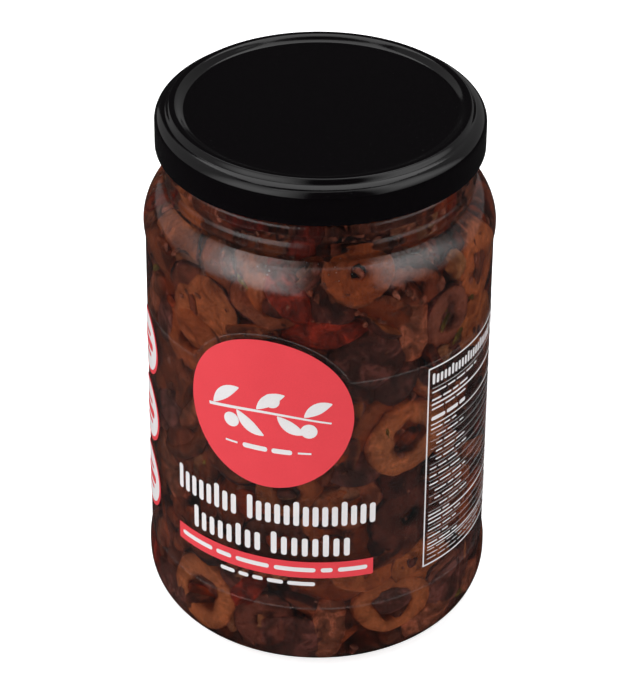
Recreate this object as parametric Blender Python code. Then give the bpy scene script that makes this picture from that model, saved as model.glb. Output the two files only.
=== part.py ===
# Jar of sliced olives: a round glass jar with a twist-off metal lid, a clear wrap-round label
# and the brine that fills it. Every solid but the label is a turned profile about +Z.
# Profiles are in millimetres, as (radius, height); meshes are in metres. The base is at z = 0.

from math import cos, pi, radians, sin

import bmesh
import bpy

MM = 0.001
FACETS = 48                  # flat sides round a turned solid
FIT_GAP = 0.3                # left between solids that touch

# glass, outside
BODY_R = 36.83               # label panel
HEEL_R = 37.32               # bulge under the panel
SHOULDER_R = 37.2            # bulge over the panel
BASE_R = 28.45               # where the heel curve meets the flat bearing ring
BEARING_R = 23.2             # inner edge of the bearing ring
PUNT_RISE = 1.6              # hollow under the base
HEEL_Z = 10.25
PANEL_LOW_Z = 16.5
PANEL_TOP_Z = 90.9
SHOULDER_Z = 94.5
NECK_Z = 102.5
SHOULDER_POWER = 1.2         # 1 is a plain ellipse, above 1 a flatter slope
NECK_R = 32.3
NECK_RING_R = 32.8
NECK_RING_Z = 105.4
BEAD_R = 33.0                # bead just under the lid
BEAD_LOW_Z = 108.4
BEAD_TOP_Z = 111.0
FINISH_R = 31.8              # upright part inside the lid
RIM_Z = 119.2
RIM_ROUND = 0.9

# glass, inside
WALL = 2.43
MOUTH_R = 28.9
FLOOR_Z = 2.2
FLOOR_RISE = 1.6
INNER_HEEL_Z = 8.0
INNER_HEEL_R = 29.5
INNER_SHOULDER_Z = 92.8
INNER_NECK_Z = 102.2

# lid
LID_R = 34.5
LID_LOW_Z = 112.0
LID_CORNER_R = 2.6           # width of the rounded top edge
LID_CORNER_H = 2.4           # its height
LID_EDGE_Z = 120.25          # top of the rounded edge
CREST_R = 30.9               # raised ring round the top
CREST_HALF = 0.35
CREST_Z = 121.3
CREST_FOOT_R = 32.4
PANEL_R = 28.2               # sunk centre of the top
PANEL_Z = 120.2
LID_UNDER_Z = RIM_Z + FIT_GAP
SHEET = 0.65
CURL_R = 33.4                # inner edge of the curled hem
CURL_H = 1.5
HEM_ROUND = 0.5

# brine
BRINE_Z = 112.5

# label
LABEL_IN_R = BODY_R + FIT_GAP
LABEL_THICK = 0.2
LABEL_LOW_Z = 17.8
LABEL_TOP_Z = 75.9
LABEL_HALF_TURN = 175.0      # degrees each way from the front, which faces -Y
DISC_Z = 67.2                # centre of the round field that stands above the label's top edge
DISC_R = 19.5
DISC_COLUMNS = 34
SIDE_COLUMNS = 38            # on each side of the round field


def arc(center, radii, start, end, steps):
    """Points of an elliptic arc, angles in degrees from the +radius direction."""
    points = []
    for i in range(steps + 1):
        a = radians(start + (end - start) * i / steps)
        points.append((center[0] + radii[0] * cos(a), center[1] + radii[1] * sin(a)))
    return points


def ease(start, end, steps):
    """Points of an S-curve that leaves and arrives upright."""
    points = []
    for i in range(steps + 1):
        t = i / steps
        blend = 0.5 - 0.5 * cos(pi * t)
        points.append((start[0] + (end[0] - start[0]) * blend, start[1] + (end[1] - start[1]) * t))
    return points


def rise(start, end, steps):
    """Points of an S-curve that leaves and arrives level."""
    return [(r, z) for z, r in ease(start[::-1], end[::-1], steps)]


def shoulder(low, high, steps):
    """Points of the shoulder from the bulge (low) up to the neck (high)."""
    points = []
    for i in range(steps + 1):
        a = 0.5 * pi * i / steps
        out = max(cos(a), 0.0) ** SHOULDER_POWER
        up = sin(a) ** SHOULDER_POWER
        points.append((high[0] + (low[0] - high[0]) * out, low[1] + (high[1] - low[1]) * up))
    return points


def dome(radius, edge_z, height, steps):
    """Points of a shallow dome from the axis out to its edge."""
    points = []
    for i in range(steps + 1):
        t = i / steps
        points.append((radius * t, edge_z + height * (1.0 - t * t)))
    return points


def inside_profile(gap):
    """The jar's inside from the axis at the floor up to the neck, drawn in by a gap."""
    body = BODY_R - WALL - gap
    mouth = MOUTH_R - gap
    heel_center = (INNER_HEEL_R, INNER_HEEL_Z)
    heel_radii = (body - INNER_HEEL_R, INNER_HEEL_Z - FLOOR_Z - gap)
    return (dome(INNER_HEEL_R, FLOOR_Z + gap, FLOOR_RISE, 3)
            + arc(heel_center, heel_radii, -90, 0, 6)[1:]
            + shoulder((body, INNER_SHOULDER_Z - gap), (mouth, INNER_NECK_Z - gap), 6))


def glass_profile():
    """The jar's outside from the axis up and over the rim, then the inside back down."""
    outside = (dome(BEARING_R, 0.0, PUNT_RISE, 3)
               + arc((BASE_R, HEEL_Z), (HEEL_R - BASE_R, HEEL_Z), -90, 0, 7)
               + ease((HEEL_R, HEEL_Z + 1.5), (BODY_R, PANEL_LOW_Z), 3)
               + ease((BODY_R, PANEL_TOP_Z), (SHOULDER_R, SHOULDER_Z - 0.6), 2)
               + shoulder((SHOULDER_R, SHOULDER_Z), (NECK_R, NECK_Z), 7)
               + [(NECK_RING_R, NECK_RING_Z), (NECK_R, NECK_RING_Z + 1.6)]
               + arc((NECK_R, (BEAD_LOW_Z + BEAD_TOP_Z) / 2),
                     (BEAD_R - NECK_R, (BEAD_TOP_Z - BEAD_LOW_Z) / 2), -70, 90, 4)
               + [(FINISH_R, BEAD_TOP_Z + 0.3)])
    rim = (arc((FINISH_R - RIM_ROUND, RIM_Z - RIM_ROUND), (RIM_ROUND, RIM_ROUND), 0, 90, 2)
           + arc((MOUTH_R + RIM_ROUND, RIM_Z - RIM_ROUND), (RIM_ROUND, RIM_ROUND), 90, 180, 2))
    return outside + rim + inside_profile(0.0)[::-1]


def lid_profile():
    """The lid's top from the axis out, down the skirt, round the hem and back under the top."""
    corner = (LID_R - LID_CORNER_R, LID_EDGE_Z - LID_CORNER_H)
    hem = (HEM_ROUND, HEM_ROUND)
    inner_radii = (LID_CORNER_R - SHEET, LID_UNDER_Z - corner[1])
    crest_in = (CREST_R - CREST_HALF, CREST_Z)
    crest_out = (CREST_R + CREST_HALF, CREST_Z)
    return ([(0.0, PANEL_Z)]
            + rise((PANEL_R, PANEL_Z), crest_in, 4)
            + rise(crest_out, (CREST_FOOT_R, LID_EDGE_Z - 0.03), 3)
            + arc(corner, (LID_CORNER_R, LID_CORNER_H), 68, 0, 5)
            + arc((LID_R - HEM_ROUND, LID_LOW_Z + HEM_ROUND), hem, 0, -90, 2)
            + arc((CURL_R + HEM_ROUND, LID_LOW_Z + HEM_ROUND), hem, -90, -180, 2)
            + [(CURL_R, LID_LOW_Z + CURL_H), (LID_R - SHEET, LID_LOW_Z + CURL_H + 0.5)]
            + arc(corner, inner_radii, 0, 90, 3)
            + [(0.0, LID_UNDER_Z)])


def brine_profile():
    """The filled inside, from the axis at the floor to the axis at the level."""
    return inside_profile(FIT_GAP) + [(MOUTH_R - FIT_GAP, BRINE_Z), (0.0, BRINE_Z)]


def make_material(name, color, roughness, metallic=0.0, transmission=0.0, ior=1.5):
    material = bpy.data.materials.new(name)
    material.use_nodes = True
    shader = material.node_tree.nodes["Principled BSDF"]
    shader.inputs["Base Color"].default_value = (*color, 1.0)
    shader.inputs["Roughness"].default_value = roughness
    shader.inputs["Metallic"].default_value = metallic
    shader.inputs["Transmission Weight"].default_value = transmission
    shader.inputs["IOR"].default_value = ior
    return material


def add_object(name, bm, material):
    bmesh.ops.recalc_face_normals(bm, faces=bm.faces)
    mesh = bpy.data.meshes.new(name)
    bm.to_mesh(mesh)
    bm.free()
    mesh.materials.append(material)
    mesh.shade_smooth()
    mesh.set_sharp_from_angle(angle=radians(35))
    obj = bpy.data.objects.new(name, mesh)
    bpy.context.scene.collection.objects.link(obj)
    return obj


def turned(name, profile, material):
    """A solid of revolution: its profile starts and ends on the axis."""
    bm = bmesh.new()
    points = [bm.verts.new((r * MM, 0.0, z * MM)) for r, z in profile]
    edges = [bm.edges.new(pair) for pair in zip(points, points[1:])]
    bmesh.ops.spin(bm, geom=points + edges, cent=(0, 0, 0), axis=(0, 0, 1),
                   angle=2 * pi, steps=FACETS, use_merge=True)
    bmesh.ops.remove_doubles(bm, verts=bm.verts, dist=0.005 * MM)
    return add_object(name, bm, material)


def label_columns():
    """Angles of the label's columns, closer together across the round field."""
    half_disc = DISC_R / BODY_R * 180 / pi
    side_step = (LABEL_HALF_TURN - half_disc) / SIDE_COLUMNS
    left = [-LABEL_HALF_TURN + side_step * i for i in range(SIDE_COLUMNS)]
    middle = [-half_disc * cos(pi * i / DISC_COLUMNS) for i in range(DISC_COLUMNS + 1)]
    right = [-a for a in reversed(left)]
    return left + middle + right


def label_top(angle):
    """Height of the label's top edge, which follows the round field where that stands higher."""
    along = radians(angle) * BODY_R
    reach = DISC_R ** 2 - along ** 2
    return max(LABEL_TOP_Z, DISC_Z + max(reach, 0.0) ** 0.5)


def label(material):
    """The clear film round the panel, open at the back."""
    bm = bmesh.new()
    sections = []
    for angle in label_columns():
        x, y = sin(radians(angle)), -cos(radians(angle))
        top = label_top(angle)
        corners = [(LABEL_IN_R, LABEL_LOW_Z), (LABEL_IN_R + LABEL_THICK, LABEL_LOW_Z),
                   (LABEL_IN_R + LABEL_THICK, top), (LABEL_IN_R, top)]
        sections.append([bm.verts.new((r * x * MM, r * y * MM, z * MM)) for r, z in corners])
    for a, b in zip(sections, sections[1:]):
        for i in range(4):
            bm.faces.new((a[i], a[(i + 1) % 4], b[(i + 1) % 4], b[i]))
    bm.faces.new(sections[0][::-1])
    bm.faces.new(sections[-1])
    return add_object("label", bm, material)


def main():
    for obj in list(bpy.data.objects):
        bpy.data.objects.remove(obj, do_unlink=True)
    clear_glass = make_material("clear_glass", (0.93, 0.95, 0.95), 0.03, transmission=1.0)
    black_lacquer = make_material("black_lacquer", (0.004, 0.003, 0.003), 0.22)
    dark_brine = make_material("dark_brine", (0.16, 0.05, 0.03), 0.1, transmission=0.6, ior=1.33)
    clear_film = make_material("clear_film", (0.75, 0.72, 0.72), 0.25, transmission=0.9)
    turned("glass_jar", glass_profile(), clear_glass)
    turned("lid", lid_profile(), black_lacquer)
    turned("brine", brine_profile(), dark_brine)
    label(clear_film)


main()
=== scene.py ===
import math
import bpy
import bmesh
import numpy as np
from mathutils import Matrix, Vector


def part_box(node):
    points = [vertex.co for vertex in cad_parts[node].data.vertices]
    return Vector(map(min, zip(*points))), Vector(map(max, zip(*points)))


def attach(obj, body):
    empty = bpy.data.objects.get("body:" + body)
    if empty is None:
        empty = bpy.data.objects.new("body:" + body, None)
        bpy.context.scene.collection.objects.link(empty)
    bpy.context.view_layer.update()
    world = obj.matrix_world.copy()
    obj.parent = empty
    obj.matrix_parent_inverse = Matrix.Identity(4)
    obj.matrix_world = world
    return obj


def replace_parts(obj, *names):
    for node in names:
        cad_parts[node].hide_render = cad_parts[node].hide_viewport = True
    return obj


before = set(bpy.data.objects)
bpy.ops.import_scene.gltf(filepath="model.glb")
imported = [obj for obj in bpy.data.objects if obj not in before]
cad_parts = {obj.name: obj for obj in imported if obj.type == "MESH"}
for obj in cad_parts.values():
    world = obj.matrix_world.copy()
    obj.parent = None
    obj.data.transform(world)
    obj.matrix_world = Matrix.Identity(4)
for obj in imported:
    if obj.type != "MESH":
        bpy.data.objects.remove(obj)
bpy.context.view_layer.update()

mm = 0.001
rng = np.random.default_rng(41)


def newMaterial(name):
    mat = bpy.data.materials.new(name)
    mat.use_nodes = True
    nt = mat.node_tree
    nt.nodes.clear()
    out = nt.nodes.new("ShaderNodeOutputMaterial")
    bsdf = nt.nodes.new("ShaderNodeBsdfPrincipled")
    nt.links.new(bsdf.outputs["BSDF"], out.inputs["Surface"])
    return mat, nt, bsdf, out


def plug(nt, socket, value):
    # numbers and colours stay on the socket, and outputs of other nodes are linked to it
    if isinstance(value, (int, float)):
        socket.default_value = value
    elif isinstance(value, tuple):
        socket.default_value = (*value, 1.0)
    else:
        nt.links.new(value, socket)


def feed(nt, node, values):
    for label, value in values.items():
        plug(nt, node.inputs[label], value)


def addNode(nt, kind, **values):
    node = nt.nodes.new("ShaderNode" + kind)
    for key, value in values.items():
        if key in node.inputs:
            plug(nt, node.inputs[key], value)
        else:
            setattr(node, key, value)
    return node


def ramp(nt, source, stops):
    node = addNode(nt, "ValToRGB", Fac=source)
    elements = node.color_ramp.elements
    while len(elements) < len(stops):
        elements.new(0.5)
    for element, (at, color) in zip(elements, stops):
        element.position = at
        element.color = (*color, 1.0)
    return node.outputs["Color"]


def mixColor(nt, fac, a, b, blend="MIX"):
    node = addNode(nt, "Mix", data_type="RGBA", blend_type=blend, Factor=fac)
    plug(nt, node.inputs[6], a)
    plug(nt, node.inputs[7], b)
    return node.outputs[2]


def mathNode(nt, operation, a, b=0.0, clamp=False):
    node = addNode(nt, "Math", operation=operation, use_clamp=clamp)
    plug(nt, node.inputs[0], a)
    plug(nt, node.inputs[1], b)
    return node.outputs[0]


def lifted(nt, base, mask, amount):
    return mathNode(nt, "ADD", base, mathNode(nt, "MULTIPLY", mask, amount))


def useGroup(nt, group, **values):
    node = nt.nodes.new("ShaderNodeGroup")
    node.node_tree = group
    feed(nt, node, values)
    return node.outputs


def useGrain(nt, ripple, grain, share):
    return useGroup(nt, fineGrain, **{"Ripple Scale": ripple, "Grain Scale": grain, "Grain Share": share})


def newGroup(name, inputs, outputs):
    group = bpy.data.node_groups.new(name, "ShaderNodeTree")
    for label, value in inputs.items():
        socket = group.interface.new_socket(name=label, in_out="INPUT", socket_type="NodeSocketFloat")
        socket.default_value = value
    for label in outputs:
        group.interface.new_socket(name=label, in_out="OUTPUT", socket_type="NodeSocketFloat")
    return group, group.nodes.new("NodeGroupInput").outputs, group.nodes.new("NodeGroupOutput")


def makeFineGrain():
    # faint unevenness of a smooth surface: a slow ripple and a fine grain, as a height and a mask
    inputs = {"Ripple Scale": 60.0, "Grain Scale": 900.0, "Grain Share": 0.3}
    group, given, out = newGroup("fineGrain", inputs, ("Height", "Mask"))
    place = addNode(group, "TexCoord").outputs["Object"]
    ripple = addNode(group, "TexNoise", Vector=place, Scale=given["Ripple Scale"], Detail=2.0, Roughness=0.45)
    grain = addNode(group, "TexNoise", Vector=place, Scale=given["Grain Scale"], Detail=3.0, Roughness=0.6)
    both = addNode(group, "Mix", Factor=given["Grain Share"], A=ripple.outputs["Fac"], B=grain.outputs["Fac"])
    feed(group, out, {"Height": both.outputs[0], "Mask": grain.outputs["Fac"]})
    return group


def makeDust():
    # sparse pale specks, thicker where a surface faces up
    group, given, out = newGroup("dustSpecks", {"Scale": 900.0, "Size": 0.12, "Facing Up": 0.6}, ("Mask",))
    place = addNode(group, "TexCoord").outputs["Object"]
    cells = addNode(group, "TexVoronoi", Vector=place, Scale=given["Scale"])
    patch = addNode(group, "TexNoise", Vector=place, Scale=45.0, Detail=2.0)
    speck = mathNode(group, "LESS_THAN", cells.outputs["Distance"], given["Size"])
    some = mathNode(group, "GREATER_THAN", patch.outputs["Fac"], 0.52)
    split = addNode(group, "SeparateXYZ", Vector=addNode(group, "NewGeometry").outputs["Normal"])
    up = mathNode(group, "MULTIPLY", split.outputs["Z"], given["Facing Up"], clamp=True)
    weight = mathNode(group, "ADD", up, mathNode(group, "SUBTRACT", 1.0, given["Facing Up"]), clamp=True)
    feed(group, out, {"Mask": mathNode(group, "MULTIPLY", mathNode(group, "MULTIPLY", speck, some), weight)})
    return group


def makeFleshMottle():
    # blotches, fibres and dark specks of cured olive flesh, as masks to shade by and a height
    inputs = {"Blotch Scale": 300.0, "Fibre Scale": 1100.0, "Speck Scale": 620.0}
    group, given, out = newGroup("fleshMottle", inputs, ("Blotch", "Fibre", "Specks", "Height"))
    place = addNode(group, "TexCoord").outputs["Object"]
    blotch = addNode(group, "TexNoise", Vector=place, Scale=given["Blotch Scale"],
                     Detail=6.0, Roughness=0.62, Distortion=0.7).outputs["Fac"]
    fibre = addNode(group, "TexNoise", Vector=place, Scale=given["Fibre Scale"],
                    Detail=5.0, Roughness=0.7, Distortion=1.2).outputs["Fac"]
    cells = addNode(group, "TexVoronoi", Vector=place, Scale=given["Speck Scale"], Randomness=1.0)
    near = mathNode(group, "SUBTRACT", 0.34, cells.outputs["Distance"])
    near = mathNode(group, "MULTIPLY", near, 5.0, clamp=True)
    some = mathNode(group, "MULTIPLY", mathNode(group, "SUBTRACT", fibre, 0.47), 9.0, clamp=True)
    specks = mathNode(group, "MULTIPLY", near, some)
    height = lifted(group, mathNode(group, "MULTIPLY", blotch, 0.6), fibre, 0.4)
    height = mathNode(group, "SUBTRACT", height, mathNode(group, "MULTIPLY", specks, 0.2))
    feed(group, out, {"Blotch": blotch, "Fibre": fibre, "Specks": specks, "Height": height})
    return group


fineGrain = makeFineGrain()
dustSpecks = makeDust()
fleshMottle = makeFleshMottle()


def addBump(nt, bsdf, height, distance, strength=1.0):
    bump = addNode(nt, "Bump", Strength=strength, Distance=distance, Height=height)
    nt.links.new(bump.outputs["Normal"], bsdf.inputs["Normal"])


def placePiece(mesh, mat, smoothAngle=40):
    mesh.materials.append(mat)
    mesh.shade_smooth()
    mesh.set_sharp_from_angle(angle=math.radians(smoothAngle))
    piece = bpy.data.objects.new(mesh.name, mesh)
    bpy.context.scene.collection.objects.link(piece)
    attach(piece, "root")
    return piece


def finishPiece(name, verts, faces, mat, attributes=None, smoothAngle=40):
    mesh = bpy.data.meshes.new(name)
    mesh.from_pydata([tuple(v) for v in verts], [], faces)
    for label, values in (attributes or {}).items():
        layer = mesh.attributes.new(label, "FLOAT", "POINT")
        layer.data.foreach_set("value", np.asarray(values, np.float32))
    return placePiece(mesh, mat, smoothAngle)


def arc(center, radii, start, end, steps):
    a = np.radians(np.linspace(start, end, steps + 1))
    return [(center[0] + radii[0] * math.cos(t), center[1] + radii[1] * math.sin(t)) for t in a]


def ease(start, end, steps):
    # an S-curve that leaves and arrives upright
    points = []
    for i in range(steps + 1):
        t = i / steps
        blend = 0.5 - 0.5 * math.cos(math.pi * t)
        points.append((start[0] + (end[0] - start[0]) * blend, start[1] + (end[1] - start[1]) * t))
    return points


def levelEase(start, end, steps):
    # an S-curve that leaves and arrives level
    return [(r, z) for z, r in ease(start[::-1], end[::-1], steps)]


def dome(radius, edgeZ, height, steps):
    return [(radius * i / steps, edgeZ + height * (1 - (i / steps) ** 2)) for i in range(steps + 1)]


def bridge(rows, around, closed=False):
    # quads between rings of points, and back to the first ring if closed
    faces = []
    for i in range(rows if closed else rows - 1):
        j = (i + 1) % rows
        for k in range(around):
            m = (k + 1) % around
            faces.append((i * around + k, j * around + k, j * around + m, i * around + m))
    return faces


def turn(profile, turns, change=None):
    # a closed solid of revolution from a profile that starts and ends on the axis, in millimetres
    profile = [p for i, p in enumerate(profile) if i == 0 or math.dist(p, profile[i - 1]) > 1e-4]
    rings = np.array(profile[1:-1])
    angles = np.arange(turns) * 2 * math.pi / turns
    r = np.repeat(rings[:, :1], turns, axis=1)
    z = np.repeat(rings[:, 1:], turns, axis=1)
    a = np.repeat(angles[None, :], len(rings), axis=0)
    if change:
        r, z = change(r, z, a)
    verts = np.stack([r * np.sin(a), -r * np.cos(a), z], axis=-1).reshape(-1, 3)
    verts = np.vstack([verts, [(0, 0, profile[0][1])], [(0, 0, profile[-1][1])]]) * mm
    first, last = len(verts) - 2, len(verts) - 1
    faces = [(a, d, c, b) for a, b, c, d in bridge(len(rings), turns)]
    top = (len(rings) - 1) * turns
    for j in range(turns):
        k = (j + 1) % turns
        faces.append((first, k, j))
        faces.append((last, top + j, top + k))
    return verts, faces


labelLow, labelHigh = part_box("label")
glassLow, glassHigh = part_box("glass_jar")
lidLow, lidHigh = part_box("lid")
brineLow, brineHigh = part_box("brine")

jar = {
    "rimZ": glassHigh.z / mm,
    "heelR": glassHigh.x / mm,
    "bodyR": 36.83,           # label panel
    "shoulderR": 37.2,
    "baseR": 28.45,
    "bearingR": 23.2,
    "puntRise": 1.6,
    "heelZ": 10.25,
    "panelLowZ": 16.5,
    "panelTopZ": 90.9,
    "shoulderZ": 94.5,
    "neckZ": 102.5,
    "shoulderPower": 1.2,
    "neckR": 32.3,
    "neckRingR": 32.8,
    "neckRingZ": 105.4,
    "beadR": 33.0,
    "beadLowZ": 108.4,
    "beadTopZ": 111.0,
    "finishR": 31.8,
    "rimRound": 0.9,
    "wall": 2.43,
    "mouthR": 28.9,
    "floorZ": 2.2,
    "floorRise": 1.6,
    "innerHeelZ": 8.0,
    "innerHeelR": 29.5,
    "innerShoulderZ": 92.8,
    "innerNeckZ": 102.2,
    "seamAngle": 6.0,         # mould seam, degrees from the front of the label
    "seamHeight": 0.09,
    "seamHalfWidth": 0.7,     # degrees
    "knurls": 90,             # small notches round the bearing ring
    "knurlDepth": 0.14,
    "roughness": 0.115,
    "turns": 360,
}


def shoulder(low, high, steps):
    points = []
    for i in range(steps + 1):
        a = 0.5 * math.pi * i / steps
        out = max(math.cos(a), 0.0) ** jar["shoulderPower"]
        up = math.sin(a) ** jar["shoulderPower"]
        points.append((high[0] + (low[0] - high[0]) * out, low[1] + (high[1] - low[1]) * up))
    return points


def insideProfile(gap, fine=3):
    # from the axis at the floor up to the neck; a gap under zero reaches into the wall
    body = jar["bodyR"] - jar["wall"] - gap
    mouth = jar["mouthR"] - gap
    heelRadii = (body - jar["innerHeelR"], jar["innerHeelZ"] - jar["floorZ"] - gap)
    return (dome(jar["innerHeelR"], jar["floorZ"] + gap, jar["floorRise"], 4 * fine)
            + arc((jar["innerHeelR"], jar["innerHeelZ"]), heelRadii, -90, 0, 6 * fine)[1:]
            + [(body, z) for z in np.linspace(14, 90, 6 * fine)]
            + shoulder((body, jar["innerShoulderZ"] - gap), (mouth, jar["innerNeckZ"] - gap), 8 * fine))


def outsideProfile():
    j = jar
    beadMid = (j["beadLowZ"] + j["beadTopZ"]) / 2
    beadHalf = (j["beadTopZ"] - j["beadLowZ"]) / 2
    return (dome(j["bearingR"], 0.0, j["puntRise"], 14)
            + [(r, 0.0) for r in np.linspace(j["bearingR"] + 0.6, j["baseR"] - 0.6, 7)]
            + arc((j["baseR"], j["heelZ"]), (j["heelR"] - j["baseR"], j["heelZ"]), -90, 0, 26)
            + ease((j["heelR"], j["heelZ"] + 1.5), (j["bodyR"], j["panelLowZ"]), 12)
            + [(j["bodyR"], z) for z in np.linspace(20, 88, 18)]
            + ease((j["bodyR"], j["panelTopZ"]), (j["shoulderR"], j["shoulderZ"] - 0.6), 8)
            + shoulder((j["shoulderR"], j["shoulderZ"]), (j["neckR"], j["neckZ"]), 28)
            + ease((j["neckR"], j["neckZ"] + 0.9), (j["neckRingR"], j["neckRingZ"]), 7)
            + ease((j["neckRingR"], j["neckRingZ"] + 0.2), (j["neckR"], j["neckRingZ"] + 1.6), 7)
            + arc((j["neckR"], beadMid), (j["beadR"] - j["neckR"], beadHalf), -90, 90, 14)
            + [(j["finishR"], j["beadTopZ"] + 0.3)])


def makeGlassMaterial():
    mat, nt, bsdf, out = newMaterial("jarGlass")
    grain = useGrain(nt, 42.0, 700.0, 0.05)
    dust = useGroup(nt, dustSpecks, **{"Scale": 700.0, "Size": 0.1, "Facing Up": 0.8})
    rough = lifted(nt, lifted(nt, jar["roughness"], grain["Mask"], 0.05), dust["Mask"], 0.25)
    feed(nt, bsdf, {"Base Color": (0.985, 0.99, 0.985), "Transmission Weight": 1.0, "IOR": 1.5,
                    "Roughness": rough})
    addBump(nt, bsdf, grain["Height"], 0.00025, 0.35)
    return mat


def makeGlass():
    j = jar
    rimRadii = (j["rimRound"],) * 2
    rim = (arc((j["finishR"] - j["rimRound"], j["rimZ"] - j["rimRound"]), rimRadii, 0, 90, 6)
           + arc((j["mouthR"] + j["rimRound"], j["rimZ"] - j["rimRound"]), rimRadii, 90, 180, 6))
    profile = outsideProfile() + rim + insideProfile(0.0)[::-1]

    def mould(r, z, a):
        # the seam where the mould halves met, and notches round the bearing ring
        outside = (r > j["bodyR"] - j["wall"] + 0.3) | (z > j["neckZ"] - 1) & (r > j["finishR"] - 0.3)
        off = np.degrees(np.abs((a - math.radians(j["seamAngle"]) + math.pi / 2) % math.pi - math.pi / 2))
        r = r + np.where(outside, j["seamHeight"] * np.exp(-(off / j["seamHalfWidth"]) ** 2), 0.0)
        ring = np.exp(-((r - (j["bearingR"] + j["baseR"]) / 2) / 2.4) ** 4) * (z < 0.05)
        z = z + ring * j["knurlDepth"] * (0.5 + 0.5 * np.cos(a * j["knurls"]))
        return r, z

    verts, faces = turn(profile, j["turns"], mould)
    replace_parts(finishPiece("jarGlass", verts, faces, makeGlassMaterial()), "glass_jar")


brine = {
    "level": brineHigh.z / mm,
    "intoWall": 0.12,
    "turns": 240,
    "ior": 1.36,              # brine with some oil
    "absorb": (12.0, 82.0, 124.0),     # per metre, red green blue
}


def makeBrineMaterial():
    mat, nt, bsdf, out = newMaterial("darkBrine")
    grain = useGrain(nt, 30.0, 300.0, 0.2)
    rough = mathNode(nt, "MULTIPLY", grain["Mask"], 0.02)
    tint = ramp(nt, grain["Height"], [(0.3, (0.93, 0.86, 0.82)), (0.7, (0.99, 0.95, 0.92))])
    feed(nt, bsdf, {"Base Color": tint, "Transmission Weight": 1.0, "IOR": brine["ior"], "Roughness": rough})
    density = max(brine["absorb"]) * 1.25
    color = tuple(1 - k / density for k in brine["absorb"])
    volume = addNode(nt, "VolumeAbsorption", Density=density, Color=color)
    nt.links.new(volume.outputs["Volume"], out.inputs["Volume"])
    return mat


def makeBrine():
    gap = -brine["intoWall"]
    profile = insideProfile(gap) + [(jar["mouthR"] - gap, z) for z in (106.0, 110.0, brine["level"])]
    profile += [(r, brine["level"]) for r in (20.0, 8.0, 0.0)]
    verts, faces = turn(profile, brine["turns"])
    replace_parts(finishPiece("brine", verts, faces, makeBrineMaterial()), "brine")


lid = {
    "radius": lidHigh.x / mm,
    "lowZ": lidLow.z / mm,
    "crestZ": lidHigh.z / mm,
    "cornerR": 2.6,
    "cornerH": 2.4,
    "edgeZ": 120.25,
    "crestR": 30.9,
    "crestHalf": 0.35,
    "crestFootR": 32.4,
    "panelR": 28.2,
    "panelZ": 120.2,
    "underZ": 119.5,
    "sheet": 0.65,
    "curlR": 33.4,
    "curlH": 1.5,
    "hemRound": 0.5,
    "roughness": 0.07,
    "turns": 300,
}


def makeLacquer():
    mat, nt, bsdf, out = newMaterial("blackLacquer")
    grain = useGrain(nt, 90.0, 2600.0, 0.35)
    dust = useGroup(nt, dustSpecks, **{"Scale": 620.0, "Size": 0.035, "Facing Up": 0.7})
    base = ramp(nt, grain["Mask"], [(0.3, (0.0014, 0.0010, 0.0014)), (0.75, (0.0030, 0.0022, 0.0029))])
    rough = lifted(nt, lifted(nt, lid["roughness"], grain["Mask"], 0.09), dust["Mask"], 0.4)
    feed(nt, bsdf, {"Base Color": mixColor(nt, dust["Mask"], base, (0.03, 0.029, 0.03)), "Roughness": rough,
                    "Specular IOR Level": 0.42})
    addBump(nt, bsdf, grain["Height"], 0.00006, 0.35)
    return mat


def makeLid():
    d = lid
    corner = (d["radius"] - d["cornerR"], d["edgeZ"] - d["cornerH"])
    hem = (d["hemRound"],) * 2
    inner = (d["cornerR"] - d["sheet"], d["underZ"] - corner[1])
    crestIn, crestOut = ((d["crestR"] + side * d["crestHalf"], d["crestZ"]) for side in (-1, 1))
    profile = ([(r, d["panelZ"]) for r in (0.0, 10.0, 20.0, 26.0)]
               + levelEase((d["panelR"], d["panelZ"]), crestIn, 14)
               + levelEase(crestOut, (d["crestFootR"], d["edgeZ"] - 0.03), 10)
               + arc(corner, (d["cornerR"], d["cornerH"]), 68, 0, 16)
               + [(d["radius"], z) for z in (116.5, 115.0, 113.6)]
               + arc((d["radius"] - d["hemRound"], d["lowZ"] + d["hemRound"]), hem, 0, -90, 6)
               + arc((d["curlR"] + d["hemRound"], d["lowZ"] + d["hemRound"]), hem, -90, -180, 6)
               + [(d["curlR"], d["lowZ"] + d["curlH"])]
               + [(d["radius"] - d["sheet"], d["lowZ"] + d["curlH"] + 0.5)]
               + arc(corner, inner, 0, 90, 8)
               + [(15.0, d["underZ"]), (0.0, d["underZ"])])

    def press(r, z, a):
        # the sheet is never quite flat: a slow sag in the middle panel
        sag = 0.035 * np.cos(2 * a + 0.6) * np.clip(1 - r / 27.0, 0, 1) * (z > d["panelZ"] - 0.2)
        return r, z + sag

    verts, faces = turn(profile, d["turns"], press)
    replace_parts(finishPiece("lid", verts, faces, makeLacquer()), "lid")


def wave(angle, *amounts):
    # a slow irregular wave round a slice
    phases = rng.uniform(0, 6.3, len(amounts))
    return sum(amount * np.cos(k * angle + phases[k - 2]) for k, amount in enumerate(amounts, start=2))


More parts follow.
